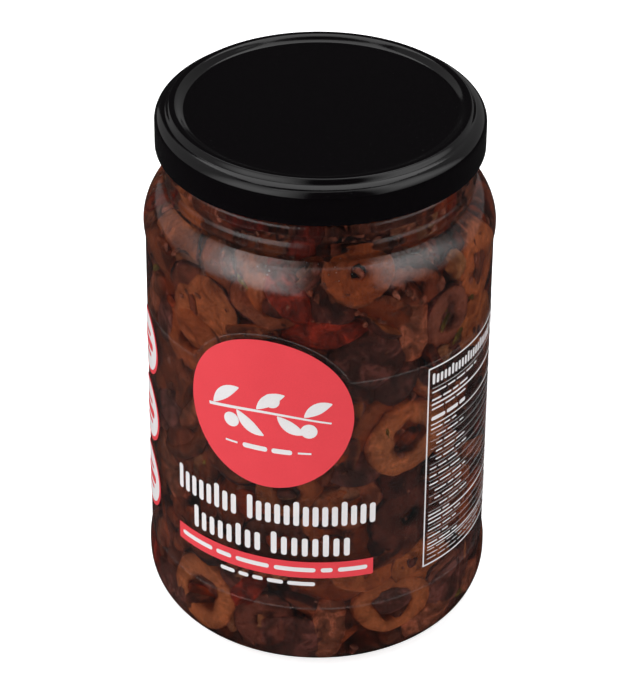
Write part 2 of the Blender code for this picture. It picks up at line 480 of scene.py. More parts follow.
def ringSlice(size, thick, hole, oval, span, ragged=1.0, steps=44, around=20):
    # one slice across an olive, with its skin round the outside; span under 360 is a broken one
    closed = span >= 359
    count = steps if closed else max(int(steps * span / 360) + 2, 8)
    a = np.linspace(0, math.radians(span), count, endpoint=not closed)
    outer = size * (1 + ragged * wave(a, 0.06, 0.04, 0.028, 0.02, 0.015, 0.01))
    inner = hole * (1 + ragged * wave(a, 0.2, 0.14, 0.1, 0.08, 0.06, 0.05, 0.04, 0.03))
    half = 0.5 * thick * (1 + wave(a, 0.14, 0.08, 0.06, 0.04, 0.03))
    tilt = rng.uniform(-0.09, 0.09, 2)
    bend = rng.normal(0, 0.035)
    t = np.linspace(0, 2 * math.pi, around, endpoint=False)
    u = np.sign(np.cos(t)) * np.abs(np.cos(t)) ** 0.62        # across: -1 at the hole, 1 at the skin
    w = np.sign(np.sin(t)) * np.abs(np.sin(t)) ** 0.5         # up and down
    taper = np.ones(count)
    if not closed:
        toEnd = np.minimum(np.arange(count), np.arange(count)[::-1]) / (count - 1)
        taper = 0.55 + 0.45 * np.minimum(toEnd * 6, 1.0)
    outer, inner, half, taper, a = (v[:, None] for v in (outer, inner, half, taper, a))
    r = (outer + inner) / 2 + (outer - inner) / 2 * u * (0.6 + 0.4 * taper)
    x, y = r * np.cos(a), r * np.sin(a) * oval
    z = half * w * taper * (1 - 0.16 * np.maximum(u, 0) ** 2)
    z += tilt[0] * x + tilt[1] * y + bend * (x * x - y * y) / size
    verts = np.stack([x, y, z], axis=-1).reshape(-1, 3)
    faces = bridge(count, around, closed)
    if not closed:
        faces.append(tuple(range(around - 1, -1, -1)))
        faces.append(tuple((count - 1) * around + k for k in range(around)))
    verts += roughen(verts, 0.12 * ragged)
    return verts, faces, np.tile((u + 1) / 2, count), np.tile((u > 0.93) * 1.0, count)


def roughen(verts, amount):
    # dents and small pits from crossed waves, different on every piece
    moved = np.zeros_like(verts)
    for reach, share in ((0.7, 1.3),) * 2 + ((1.5, 0.9),) * 2 + ((2.8, 0.5),) * 2:
        way = rng.normal(0, reach, 3)
        push = rng.normal(0, 1, 3)
        push /= np.linalg.norm(push)
        moved += np.sin(verts @ way + rng.uniform(0, 6.3))[:, None] * push * amount * share
    return moved


def blob(radii, bend, flat, steps=18, rings=10, rough=0.12):
    # an egg-like piece with one flattened side; the skin is on the rounded side
    lat = (math.pi * np.arange(1, rings) / rings)[:, None]
    lon = 2 * math.pi * np.arange(steps) / steps
    x, y, z = np.cos(lat) + 0 * lon, np.sin(lat) * np.cos(lon), np.sin(lat) * np.sin(lon)
    skin = np.append((z > -0.12) * 1.0, (1.0, 1.0))
    across = np.append(np.minimum(np.hypot(x, y), 1.0), (1.0, 1.0))
    verts = np.stack([x, y, np.where(z > 0, z, z * flat)], axis=-1).reshape(-1, 3)
    verts = np.vstack([verts, [(1, 0, 0), (-1, 0, 0)]]) * radii
    first, last = len(verts) - 2, len(verts) - 1
    faces = bridge(rings - 1, steps)
    for j in range(steps):
        k = (j + 1) % steps
        faces.append((first, j, k))
        faces.append((last, (rings - 2) * steps + k, (rings - 2) * steps + j))
    verts[:, 2] -= bend * (verts[:, 0] / radii[0]) ** 2 * radii[2]
    verts += roughen(verts, rough)
    return verts, faces, across, skin


packing = {
    "steps": 190,
    "coreR": 21.0,
    "lowZ": 2.9,
    "topZ": 111.9,
    "pull": 0.12,             # mm a step towards the wall
    "clear": 0.15,            # kept from the wall
}

kinds = {
    # how many, the form, then ranges of half-length, thickness and hole
    "tanRings": (50, "ring", (7.2, 9.3), (3.4, 5.0), (2.2, 3.4)),
    "duskyRings": (56, "ring", (6.8, 9.0), (3.4, 5.0), (1.8, 3.0)),
    "brokenRings": (44, "broken", (7.0, 9.2), (3.2, 4.8), (2.0, 3.2)),
    "endCaps": (50, "cap", (6.2, 8.4), (3.6, 5.0), None),
    "longPieces": (44, "long", (8.0, 11.0), (2.6, 3.6), None),
    "redPieces": (24, "long", (6.5, 9.0), (2.6, 3.6), None),
    "smallPieces": (120, "small", (2.0, 3.8), (1.2, 2.2), None),
}

# pieces laid one by one where they lie against the glass: degrees from the front of the label,
# height, kind, half-length, thickness, hole, turn in its own plane in degrees, lean (pi is
# cut side out), tone, brightness
laid = [
    (49.5, 57.6, "tanRings", 9.3, 4.4, 3.5, 20, 0.05, 0.0, 1.0),
    (66.0, 84.0, "duskyRings", 7.6, 4.2, 2.3, 80, -0.1, 0.15, 1.0),
    (31.0, 98.3, "tanRings", 7.2, 4.2, 1.5, 10, 0.5, 0.9, 0.6),
    (19.0, 86.6, "redPieces", 8.8, 4.2, 0.0, 5, 0.1, 0.2, 1.0),
    (-26.0, 85.5, "endCaps", 9.8, 3.8, 0.0, -62, 3.1, 0.4, 1.0),
    (5.0, 95.0, "redPieces", 7.6, 3.4, 0.0, -50, 0.4, 0.5, 0.6),
    (45.0, 15.0, "tanRings", 9.0, 4.2, 4.4, 0, 0.0, 0.25, 0.8),
    (45.5, 16.0, "endCaps", 5.2, 3.0, 0.0, 0, 0.0, 0.1, 1.0),
    (-28.0, 13.5, "tanRings", 9.0, 4.4, 4.0, 60, -0.1, 0.1, 0.9),
    (21.0, 11.0, "longPieces", 8.8, 3.4, 0.0, 84, 0.0, 0.9, 1.0),
    (84.0, 77.0, "endCaps", 8.2, 4.0, 0.0, 30, 3.14, 0.85, 0.9),
    (-58.0, 80.0, "longPieces", 9.0, 3.6, 0.0, 70, 0.0, 0.2, 0.9),
    (34.0, 79.0, "endCaps", 8.4, 4.4, 0.0, 0, 0.0, 0.05, 0.7),
    (51.0, 37.0, "duskyRings", 9.2, 4.6, 1.6, 0, 0.05, 0.0, 0.15),
    (57.0, 23.5, "endCaps", 8.0, 3.6, 0.0, 20, 3.14, 0.7, 0.8),
    (-2.0, 12.0, "duskyRings", 7.4, 3.2, 1.6, 60, 0.0, 0.0, 0.5),
    (-10.0, 17.5, "redPieces", 6.4, 3.2, 0.0, 60, 0.0, 0.4, 0.8),
    (-44.0, 97.0, "endCaps", 8.0, 3.6, 0.0, 0, 2.8, 0.5, 0.7),
    (-62.0, 11.0, "redPieces", 9.0, 3.2, 0.0, -25, -0.2, 0.9, 1.0),
    (-47.0, 8.0, "endCaps", 7.0, 3.4, 0.0, 0, -0.3, 0.3, 1.0),
    (72.0, 12.0, "endCaps", 8.2, 3.6, 0.0, 0, -0.2, 0.0, 0.9),
    (60.0, 7.5, "longPieces", 8.0, 3.0, 0.0, 8, -0.4, 0.2, 0.9),
    (84.0, 9.5, "longPieces", 8.0, 3.0, 0.0, -12, -0.3, 0.6, 0.9),
    (8.0, 8.0, "endCaps", 7.6, 3.4, 0.0, 0, -0.3, 0.1, 0.8),
]

loose = {
    "pulp": {"count": 2700, "size": (0.5, 1.5), "wide": (0.45, 0.9), "flat": 0.5, "band": (88, 111.5),
             "inBand": 0.4, "depth": 8.0, "spread": 0.8},
    "herbBits": {"count": 46, "size": (1.2, 2.6), "wide": (0.2, 0.4), "flat": 0.22, "band": (60, 90),
                 "inBand": 0.3, "depth": 1.5, "spread": 0.3},
}


def makeShape(kind, size=None, thick=None, hole=None, ragged=0.85):
    # one body: its mesh and the balls that stand for it while the pieces are packed
    _, form, sizes, thicks, holes = kinds[kind]
    size = size or rng.uniform(*sizes)
    thick = thick or rng.uniform(*thicks)
    if form in ("ring", "broken"):
        hole = hole or rng.uniform(*holes)
        oval = rng.uniform(0.78, 0.98)
        span = 360.0 if form == "ring" else rng.uniform(150, 270)
        shape = ringSlice(size, thick, hole, oval, span, ragged)
        count = 10 if form == "ring" else max(int(span / 36), 4)
        a = np.radians(np.linspace(0, span, count, endpoint=form != "ring"))
        mid = (size + hole) / 2
        balls = np.stack([mid * np.cos(a), mid * np.sin(a) * oval, 0 * a], axis=1)
        radii = np.full(count, min(thick / 2, (size - hole) / 2) * 1.04)
    elif form == "cap":
        shape = blob((size, size * rng.uniform(0.8, 0.95), thick), 0.0, 0.16, 30, 16)
        a = np.linspace(0, 2 * math.pi, 6, endpoint=False)
        around = np.stack([size * 0.6 * np.cos(a), size * 0.52 * np.sin(a), 0 * a + thick * 0.2], axis=1)
        balls = np.vstack([[(0, 0, thick * 0.35)], around])
        radii = np.array([thick * 0.62] + [thick * 0.48] * 6)
    elif form == "long":
        shape = blob((size, size * rng.uniform(0.36, 0.5), thick), rng.uniform(0.2, 0.9), 0.35, 26, 14)
        x = np.linspace(-0.68, 0.68, 4) * size
        balls = np.stack([x, 0 * x, 0 * x + 0.3], axis=1)
        radii = np.full(4, thick * 0.72)
    else:
        shape = blob((size, size * rng.uniform(0.5, 0.9), thick), rng.uniform(0, 0.6), 0.5, 12, 7, 0.18)
        balls = np.array([(-size * 0.35, 0, 0), (size * 0.35, 0, 0)])
        radii = np.full(2, thick * 0.85)
    return shape, balls, radii


wallLine = np.array(insideProfile(0.0)[13:])      # from the heel up, without the floor


def wallRadius(z):
    return np.interp(z, wallLine[:, 1], wallLine[:, 0])


def randomTurn(normal, spread):
    # a rotation whose Z axis lies near the normal
    z = normal / np.linalg.norm(normal) + rng.normal(0, spread, 3)
    z /= np.linalg.norm(z)
    x = np.cross(z, rng.normal(0, 1, 3))
    x /= np.linalg.norm(x)
    return np.stack([x, np.cross(z, x), z], axis=1)


def sumBy(owner, rows, count):
    return np.stack([np.bincount(owner, rows[:, k], count) for k in range(3)], axis=1)


def packOlives(bodies):
    # balls push each other apart and out to the wall, and grow to full size meanwhile
    count = len(bodies)
    owner = np.concatenate([np.full(len(b["radii"]), i) for i, b in enumerate(bodies)])
    local = np.concatenate([b["balls"] for b in bodies])
    radii = np.concatenate([b["radii"] for b in bodies])
    number = np.bincount(owner, minlength=count)
    middle = sumBy(owner, local, count) / number[:, None]
    offset = local - middle[owner]
    place = np.array([b["place"] for b in bodies])
    turned = np.array([b["turned"] for b in bodies])
    fixed = np.array([b["fixed"] for b in bodies])
    steps = packing["steps"]
    pairs = None
    for step in range(steps):
        grow = min(0.55 + 0.5 * step / (steps * 0.7), 1.0)
        ball = place[owner] + np.einsum("nij,nj->ni", turned[owner], offset)
        if step % 6 == 0:
            square = (ball ** 2).sum(1)
            apart = square[:, None] + square[None, :] - 2 * ball @ ball.T
            near = apart < (radii[:, None] + radii[None, :] + 1.5) ** 2
            near &= owner[:, None] < owner[None, :]
            pairs = np.nonzero(near)
        i, j = pairs
        gap = ball[i] - ball[j]
        dist = np.sqrt((gap ** 2).sum(1)) + 1e-6
        over = (radii[i] + radii[j]) * grow - dist
        hit = over > 0
        i, j = i[hit], j[hit]
        push = gap[hit] / dist[hit][:, None] * over[hit][:, None] * 0.5
        share = np.where(fixed[owner[i]], 0.0, np.where(fixed[owner[j]], 2.0, 1.0))[:, None]
        back = np.where(fixed[owner[j]], 0.0, np.where(fixed[owner[i]], 2.0, 1.0))[:, None]
        ball = ball + 0.6 * (sumBy(i, push * share, len(ball)) - sumBy(j, push * back, len(ball)))
        flat = np.hypot(ball[:, 0], ball[:, 1]) + 1e-6
        ball[:, :2] *= (1 + packing["pull"] / flat)[:, None]
        flat = np.hypot(ball[:, 0], ball[:, 1]) + 1e-6
        size = radii * grow
        wall = np.minimum(wallRadius(ball[:, 2] - 0.7 * size), wallRadius(ball[:, 2] + 0.7 * size))
        most = wall - packing["clear"] - size
        least = packing["coreR"] * np.clip((ball[:, 2] - 2) / 14, 0.2, 1)
        want = np.clip(flat, np.minimum(least, most), most)
        ball[:, :2] *= (want / flat)[:, None]
        ball[:, 2] = np.clip(ball[:, 2], packing["lowZ"] + size, packing["topZ"] - size)
        # the piece follows its balls as one rigid body
        newPlace = sumBy(owner, ball, count) / number[:, None]
        arm = ball - newPlace[owner]
        shape = np.stack([sumBy(owner, arm[:, r:r + 1] * offset, count) for r in range(3)], axis=1)
        shape += turned * 2.0
        left, _, right = np.linalg.svd(shape)
        flip = np.sign(np.linalg.det(left @ right))
        left[:, :, 2] *= flip[:, None]
        newTurned = left @ right
        place = np.where(fixed[:, None], place, newPlace)
        turned = np.where(fixed[:, None, None], turned, newTurned)
    print("packed", count, "pieces with overlaps of", round(float(over[over > 0].mean()), 2), "mm on average")
    return place - np.einsum("nij,nj->ni", turned, middle), turned


def outward(angle):
    return np.array([math.sin(angle), -math.cos(angle), 0.0])


def scatterBodies():
    bodies = []

    def add(kind, made, place, turned, tone, lit, fixed):
        shape, balls, radii = made
        bodies.append({"kind": kind, "shape": shape, "balls": balls, "radii": radii, "place": place,
                       "turned": turned, "tone": tone, "lit": lit, "fixed": fixed})

    for kind, row in kinds.items():
        for _ in range(row[0]):
            made = makeShape(kind)
            angle = rng.uniform(0, 2 * math.pi)
            depth = rng.random() ** 1.6
            z = rng.uniform(9, 108)
            out = outward(angle)
            facing = rng.random() < 0.72 and depth < 0.6      # most pieces near the wall lie flat to it
            turned = randomTurn(out * rng.choice((-1, 1)), 0.3 if facing else 3.0)
            place = out * (float(wallRadius(z)) - 3 - depth * 10) + (0, 0, z)
            add(kind, made, place, turned, rng.random(), rng.random() ** 1.15, False)
    for angle, z, kind, size, thick, hole, spin, lean, tone, lit in laid:
        made = makeShape(kind, size, thick, hole, 0.45)
        a, turnBy = math.radians(angle), math.radians(spin)
        out = outward(a)
        side = np.array([math.cos(a), math.sin(a), 0.0])
        normal = out * math.cos(lean) + np.array([0, 0, math.sin(lean)])
        x = side * math.cos(turnBy) + np.cross(normal, side) * math.sin(turnBy)
        place = out * (float(wallRadius(z)) - 0.5 * thick - 0.2) + (0, 0, z)
        add(kind, made, place, np.stack([x, np.cross(normal, x), normal], axis=1), tone, lit, True)
    return bodies


flesh = {
    # hole edge, flesh, flesh near the skin, then skin, the tone that pieces vary towards, blotchiness
    "tanRings": [(0.42, 0.11, 0.045), (0.88, 0.3, 0.12), (0.76, 0.23, 0.09),
                 (0.52, 0.15, 0.065), (0.78, 0.18, 0.05), 0.5],
    "duskyRings": [(0.15, 0.04, 0.03), (0.46, 0.15, 0.105), (0.34, 0.1, 0.07),
                   (0.15, 0.04, 0.035), (0.66, 0.2, 0.085), 0.75],
    "brokenRings": [(0.36, 0.09, 0.04), (0.7, 0.25, 0.115), (0.5, 0.15, 0.07),
                    (0.26, 0.07, 0.045), (0.58, 0.11, 0.035), 0.85],
    "endCaps": [(0.46, 0.14, 0.075), (0.7, 0.22, 0.1), (0.36, 0.1, 0.06),
                (0.21, 0.068, 0.055), (0.76, 0.24, 0.075), 0.75],
    "longPieces": [(0.52, 0.17, 0.07), (0.72, 0.26, 0.115), (0.52, 0.17, 0.075),
                   (0.4, 0.12, 0.065), (0.72, 0.17, 0.045), 0.7],
    "redPieces": [(0.42, 0.035, 0.012), (0.56, 0.05, 0.015), (0.42, 0.034, 0.012),
                  (0.36, 0.032, 0.014), (0.7, 0.13, 0.03), 0.85],
    "smallPieces": [(0.5, 0.2, 0.12), (0.6, 0.25, 0.15), (0.4, 0.14, 0.09),
                    (0.26, 0.08, 0.06), (0.7, 0.34, 0.16), 0.85],
    "pulp": [(0.62, 0.25, 0.16), (0.68, 0.28, 0.18), (0.54, 0.2, 0.13),
             (0.48, 0.17, 0.11), (0.32, 0.1, 0.07), 0.7],
    "herbBits": [(0.4, 0.3, 0.06), (0.48, 0.36, 0.08), (0.4, 0.28, 0.06),
                 (0.34, 0.24, 0.05), (0.7, 0.5, 0.18), 0.85],
}


def makeFlesh(kind):
    holeEdge, middle, nearSkin, skinColor, other, blotchy = flesh[kind]
    mat, nt, bsdf, out = newMaterial(kind + "Flesh")
    mottle = useGroup(nt, fleshMottle, **{"Blotch Scale": 260.0, "Fibre Scale": 1150.0, "Speck Scale": 640.0})
    across, skin, tone, lit = (addNode(nt, "Attribute", attribute_name=label).outputs["Fac"]
                               for label in ("across", "skin", "tone", "lit"))
    fleshy = ramp(nt, across, [(0.0, holeEdge), (0.3, middle), (0.7, middle), (0.95, nearSkin)])
    fleshy = mixColor(nt, tone, fleshy, other)
    shade = ramp(nt, mottle["Blotch"],
                 [(0.36, (0.34, 0.22, 0.2)), (0.5, (0.85, 0.77, 0.74)), (0.62, (1.25, 1.2, 1.14))])
    fleshy = mixColor(nt, blotchy, fleshy, shade, "MULTIPLY")
    fine = ramp(nt, mottle["Fibre"], [(0.36, (0.6, 0.54, 0.52)), (0.64, (1.2, 1.2, 1.2))])
    fleshy = mixColor(nt, 0.8, fleshy, fine, "MULTIPLY")
    skinStops = ((0.36, 0.45), (0.5, 1.0), (0.62, 2.1))
    skinStops = [(at, tuple(min(c * by, 1) for c in skinColor)) for at, by in skinStops]
    skinShade = ramp(nt, mottle["Blotch"], skinStops)
    skinShade = mixColor(nt, 0.8, skinShade, fine, "MULTIPLY")
    color = mixColor(nt, skin, fleshy, skinShade)
    color = mixColor(nt, mottle["Specks"], color, mixColor(nt, 1.0, color, (0.74, 0.66, 0.66), "MULTIPLY"))
    # painted shade: a darker copy of the colour, mixed in by each piece's lit value
    shadedCopy = mixColor(nt, 1.0, color, (0.38, 0.26, 0.24), "MULTIPLY")
    feed(nt, bsdf, {"Base Color": mixColor(nt, lit, shadedCopy, color), "Specular IOR Level": 0.2,
                    "Roughness": lifted(nt, 0.38, mottle["Fibre"], 0.3)})
    addBump(nt, bsdf, mottle["Height"], 0.0011, 0.8)
    return mat


def joinKind(name, rows, mat):
    verts, faces = [], []
    layers = {"across": [], "skin": [], "tone": [], "lit": []}
    start = 0
    for points, polygons, *values in rows:
        # what meets the glass is pressed flat against it
        flat = np.hypot(points[:, 0], points[:, 1]) + 1e-6
        floor = jar["floorZ"] + jar["floorRise"] * np.clip(1 - (flat / jar["innerHeelR"]) ** 2, 0, 1)
        points[:, 2] = np.clip(points[:, 2], floor + 0.15, brine["level"] - 0.3)
        points[:, :2] *= np.minimum(1.0, (wallRadius(points[:, 2]) - 0.12) / flat)[:, None]
        verts.append(points * mm)
        faces += [tuple(v + start for v in face) for face in polygons]
        for layer, value in zip(layers.values(), values):
            layer.append(np.broadcast_to(value, len(points)))
        start += len(points)
    layers = {label: np.concatenate(layer) for label, layer in layers.items()}
    return finishPiece(name, np.vstack(verts), faces, mat, layers, 60)


def makeOlives():
    bodies = scatterBodies()
    place, turned = packOlives(bodies)
    for kind in kinds:
        rows = []
        for i, body in enumerate(bodies):
            if body["kind"] == kind:
                points, *others = body["shape"]
                rows.append((points @ turned[i].T + place[i], *others, body["tone"], body["lit"]))
        piece = joinKind(kind, rows, makeFlesh(kind))
        print(kind, len(rows), "pieces,", len(piece.data.polygons), "faces")
    for name, row in loose.items():
        rows = []
        for _ in range(row["count"]):
            size = rng.uniform(*row["size"])
            radii = (size, size * rng.uniform(*row["wide"]), size * row["flat"])
            points, polygons, across, skin = blob(radii, rng.uniform(0, 0.8), 0.6, 8, 5, size * 0.1)
            angle = rng.uniform(0, 2 * math.pi)
            z = rng.uniform(*row["band"]) if rng.random() < row["inBand"] else rng.uniform(2.5, 111)
            out = outward(angle)
            r = float(wallRadius(z)) - size * row["flat"] - row["depth"] * rng.random() ** 1.5
            rows.append((points @ randomTurn(out, row["spread"]).T + out * r + (0, 0, z),
                         polygons, across, skin, rng.random(), rng.uniform(0.3, 0.8)))
        joinKind(name, rows, makeFlesh(name))


core = {
    "radius": 21.0,
    "lowZ": 4.2,
    "topZ": 111.5,
    "relief": 2.0,
}


def makeCore():
    # the dark mass of olives behind the slices that show
    d = core
    mid, neck = d["radius"] + 4, jar["mouthR"] - 1.0
    floorR = (0.0, 6.0, 12.0, 18.0, 24.0, 28.0)
    profile = ([(r, d["lowZ"] - jar["floorRise"] * (r / jar["innerHeelR"]) ** 2) for r in floorR]
               + [(float(wallRadius(z)) - 0.9, z) for z in np.linspace(d["lowZ"] - 1.0, 11.0, 10)]
               + ease((float(wallRadius(11.0)) - 1.4, 12.0), (mid, 25.0), 10)
               + [(mid, z) for z in np.linspace(27, 90, 46)]
               + ease((mid, 92), (neck, 102), 8)
               + [(neck, z) for z in np.linspace(103, d["topZ"] - 1, 8)]
               + [(r, d["topZ"]) for r in (24.0, 18.0, 12.0, 6.0, 0.0)])

    def lumpy(r, z, a):
        x, y = r * np.sin(a), r * np.cos(a)
        lump = np.zeros_like(r)
        for _ in range(14):
            way = rng.normal(0, 0.42, 3)
            lump += np.sin(x * way[0] + y * way[1] + z * way[2] + rng.uniform(0, 6.3))
        return np.minimum(r - 1.2 + d["relief"] * lump / 3.0, wallRadius(z) - 0.5), z

    verts, faces = turn(profile, 150, lumpy)
    mat, nt, bsdf, out = newMaterial("deepOlives")
    mottle = useGroup(nt, fleshMottle, **{"Blotch Scale": 240.0, "Fibre Scale": 900.0})
    color = ramp(nt, mottle["Blotch"],
                 [(0.36, (0.045, 0.012, 0.01)), (0.5, (0.13, 0.035, 0.024)), (0.64, (0.3, 0.09, 0.045))])
    feed(nt, bsdf, {"Base Color": color, "Specular IOR Level": 0.2,
                    "Roughness": lifted(nt, 0.4, mottle["Fibre"], 0.3)})
    addBump(nt, bsdf, mottle["Height"], 0.0012, 0.8)
    finishPiece("oliveCore", verts, faces, mat)


label = {
    "filmIn": 36.86,
    "filmOut": 36.92,
    "inkIn": 36.94,
    "inkOut": 36.97,
    "topInkIn": 36.99,        # ink over ink
    "topInkOut": 37.02,
    "lowZ": labelLow.z / mm,
    "topZ": 75.9,
    "halfTurn": 175.0,
    "discZ": 67.2,
    "discR": 18.2,
    "discMargin": 1.3,
    "edge": 0.3,
}


def onJar(s, z, r):
    a = s / jar["bodyR"]
    return (r * math.sin(a) * mm, -r * math.cos(a) * mm, z * mm)


def labelTop(s):
    reach = (label["discR"] + label["discMargin"]) ** 2 - s * s
    return max(label["topZ"], label["discZ"] + math.sqrt(max(reach, 0.0)))


def makeFilm():
    half = math.radians(label["halfTurn"]) * jar["bodyR"]
    disc = label["discR"] + label["discMargin"]
    columns = sorted([-disc * math.cos(math.pi * i / 60) for i in range(61)]
                     + [s for s in np.linspace(-half, half, 170) if abs(s) > disc + 0.5]
                     + [-half + label["edge"], half - label["edge"]])
    verts, edge = [], []
    for s in columns:
        low, top = label["lowZ"], labelTop(s)
        up = [low, low + label["edge"], (low + top) / 2, top - label["edge"], top]
        # up the inside of the film and down its outside
        for r, heights in ((label["filmIn"], up), (label["filmOut"], up[::-1])):
            for z in heights:
                verts.append(onJar(s, z, r))
                edge.append(float(z in (low, top) or abs(s) > half - 0.01))
    around = 2 * len(up)
    faces = bridge(len(columns), around)
    for k in (0, len(verts) - around):
        faces += [(k + i, k + i + 1, k + around - 2 - i, k + around - 1 - i) for i in range(len(up) - 1)]
    mat, nt, bsdf, out = newMaterial("clearFilm")
    grain = useGrain(nt, 120.0, 1800.0, 0.5)
    border = addNode(nt, "Attribute", attribute_name="edge").outputs["Fac"]
    tint = ramp(nt, grain["Mask"], [(0.3, (0.42, 0.38, 0.37)), (0.7, (0.62, 0.58, 0.57))])
    alpha = lifted(nt, mathNode(nt, "MULTIPLY", grain["Mask"], 0.008), border, 0.09)
    feed(nt, bsdf, {"Base Color": tint, "Alpha": alpha, "Roughness": 0.3})
    addBump(nt, bsdf, grain["Height"], 0.00005, 0.3)
    piece = finishPiece("labelFilm", verts, faces, mat, {"edge": edge})
    fixNormals(piece)
    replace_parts(piece, "label")


def fixNormals(piece):
    bm = bmesh.new()
    bm.from_mesh(piece.data)
    bmesh.ops.recalc_face_normals(bm, faces=bm.faces)
    bm.to_mesh(piece.data)
    bm.free()


class Ink:
    # flat shapes on the label, in millimetres along and up it, which become thin raised ink
    def __init__(self):
        self.verts = []
        self.faces = []

    def grid(self, rows):
        # rows of equal length, each a list of (along, up)
        start, wide = len(self.verts), len(rows[0])
        for row in rows:
            self.verts += row
        for i in range(len(rows) - 1):
            for j in range(wide - 1):
                k = start + i * wide + j
                self.faces.append((k, k + 1, k + wide + 1, k + wide))

    def bar(self, s0, s1, z0, z1, rounded=0.0, lean=0.0):
        # an upright bar with rounded ends, cut into short columns so that it follows the jar
        count = max(int(math.ceil(abs(s1 - s0) / 1.1)), 1)
        stops = list(np.linspace(s0, s1, count + 1))
        if rounded:
            inner = [s0 + rounded * k for k in (0.0, 0.3, 1.0)] + [s1 - rounded * k for k in (1.0, 0.3, 0.0)]
            stops = sorted(set([s for s in stops if s0 + rounded < s < s1 - rounded] + inner))
        low, high = [], []
        for s in stops:
            toEnd = min(s - s0, s1 - s)
            inside = max(rounded - toEnd, 0.0)
            cut = rounded - math.sqrt(max(rounded ** 2 - inside ** 2, 0.0)) if inside else 0.0
            low.append((s, z0 + cut))
            high.append((s, z1 - cut))
        self.grid([low, [(s, (z0 + z1) / 2) for s in stops], high])

    def disc(self, s, z, radius, inner=0.0, steps=72):
        rings = max(int((radius - inner) / 1.1), 1)
        rows = []
        for i in range(rings + 1):
            r = max(inner + (radius - inner) * i / rings, 0.05)
            turns = [2 * math.pi * k / steps for k in range(steps + 1)]
            rows.append([(s + r * math.cos(a), z + r * math.sin(a)) for a in turns])
        self.grid(rows)

    def stroke(self, points, width):
        rows = [[], []]
        for i, (s, z) in enumerate(points):
            before, after = points[max(i - 1, 0)], points[min(i + 1, len(points) - 1)]
            along = Vector((after[0] - before[0], after[1] - before[1])).normalized()
            w = width(i / (len(points) - 1)) / 2 if callable(width) else width / 2
            rows[0].append((s - along.y * w, z + along.x * w))
            rows[1].append((s + along.y * w, z - along.x * w))
        self.grid(rows)

    def leaf(self, root, length, angle, width, curve=0.15):
        points = []
        ca, sa = math.cos(math.radians(angle)), math.sin(math.radians(angle))
        for i in range(11):
            s, z = length * i / 10, curve * length * math.sin(math.pi * i / 10 * 0.8)
            points.append((root[0] + s * ca - z * sa, root[1] + s * sa + z * ca))
        self.stroke(points, lambda t: max(width * math.sin(math.pi * min(t * 0.97 + 0.015, 1)) ** 0.8, 0.05))

    def build(self, name, mat, inside, outside):
        bm = bmesh.new()
        placed = [bm.verts.new(onJar(s, z, inside)) for s, z in self.verts]
        for face in self.faces:
            bm.faces.new([placed[i] for i in face])
        bmesh.ops.remove_doubles(bm, verts=bm.verts, dist=0.004 * mm)
        bmesh.ops.dissolve_degenerate(bm, edges=bm.edges, dist=0.002 * mm)
        top = bmesh.ops.extrude_face_region(bm, geom=bm.faces[:])
        for v in top["geom"]:
            if isinstance(v, bmesh.types.BMVert):
                v.co.x *= outside / inside
                v.co.y *= outside / inside
        bmesh.ops.recalc_face_normals(bm, faces=bm.faces)
        mesh = bpy.data.meshes.new(name)
        bm.to_mesh(mesh)
        bm.free()
        placePiece(mesh, mat)


def makeInk(name, color, dark):
    mat, nt, bsdf, out = newMaterial(name)
    grain = useGrain(nt, 150.0, 3200.0, 0.6)
    feed(nt, bsdf, {"Base Color": ramp(nt, grain["Height"], [(0.3, dark), (0.65, color)]),
                    "Roughness": lifted(nt, 0.32, grain["Mask"], 0.2), "Specular IOR Level": 0.3})
    addBump(nt, bsdf, grain["Mask"], 0.00003, 0.3)
    return mat


def words(ink, lengths, s0, s1, z0, z1, space, strip=0.0):
    # a line of print as a rounded bar for each word, or as groups of upright strips
    unit = (s1 - s0 - space * (len(lengths) - 1)) / sum(lengths)
    s = s0
    for length in lengths:
        end = s + length * unit
        if strip:
            count = max(round((end - s) / (strip * 1.6)), 1)
            pitch = (end - s - strip) / max(count - 1, 1)
            for i in range(count):
                top = z1 + (0.0 if i % 5 else 0.22) * (z1 - z0)
                ink.bar(s + i * pitch, s + i * pitch + strip, z0, top, strip * 0.4)
        else:
            ink.bar(s, end, z0, z1, (z1 - z0) * 0.42)
        s = end + space


def makeLabel():
    red = makeInk("redInk", (0.79, 0.045, 0.061), (0.73, 0.037, 0.052))
    white = makeInk("whiteInk", (0.77, 0.745, 0.75), (0.71, 0.685, 0.69))
    field = Ink()
    field.disc(0, label["discZ"], label["discR"])
    field.bar(-23.5, 22.9, 26.2, 30.4)
    for z in badge["heights"]:
        field.disc(badge["along"], z, badge["radius"], badge["radius"] - badge["rim"])
    field.build("redPrint", red, label["inkIn"], label["inkOut"])

    plain = Ink()
    words(plain, (5, 8.6), -23.2, 23.2, 39.8, 44.9, 2.6, 1.25)
    words(plain, (6, 6), -18.4, 17.7, 31.9, 36.6, 2.4, 1.25)
    words(plain, (3, 2, 2, 3, 5), -11.1, 10.4, 24.1, 25.1, 0.9)
    makePanel(plain)
    for z in badge["heights"]:
        plain.disc(badge["along"], z, badge["radius"] - badge["rim"] - 0.02)
    plain.build("whitePrint", white, label["inkIn"], label["inkOut"])

    over = Ink()
    makeSprig(over)
    words(over, (7, 3, 6, 7, 2, 5), -22.2, 21.6, 27.8, 28.9, 1.1)
    over.build("whiteOverprint", white, label["topInkIn"], label["topInkOut"])

    marks = Ink()
    for z in badge["heights"]:
        s = badge["along"]
        marks.bar(s - 4.2, s + 4.2, z - 1.0, z + 1.0, 0.8)
        marks.bar(s - 2.6, s + 2.6, z + 2.2, z + 3.0, 0.3)
        marks.bar(s - 2.6, s + 2.6, z - 3.0, z - 2.2, 0.3)
    marks.build("redOverprint", red, label["topInkIn"], label["topInkOut"])


badge = {
    "along": -40.1,
    "heights": (67.2, 49.9, 32.6),
    "radius": 7.6,
    "rim": 0.9,
}


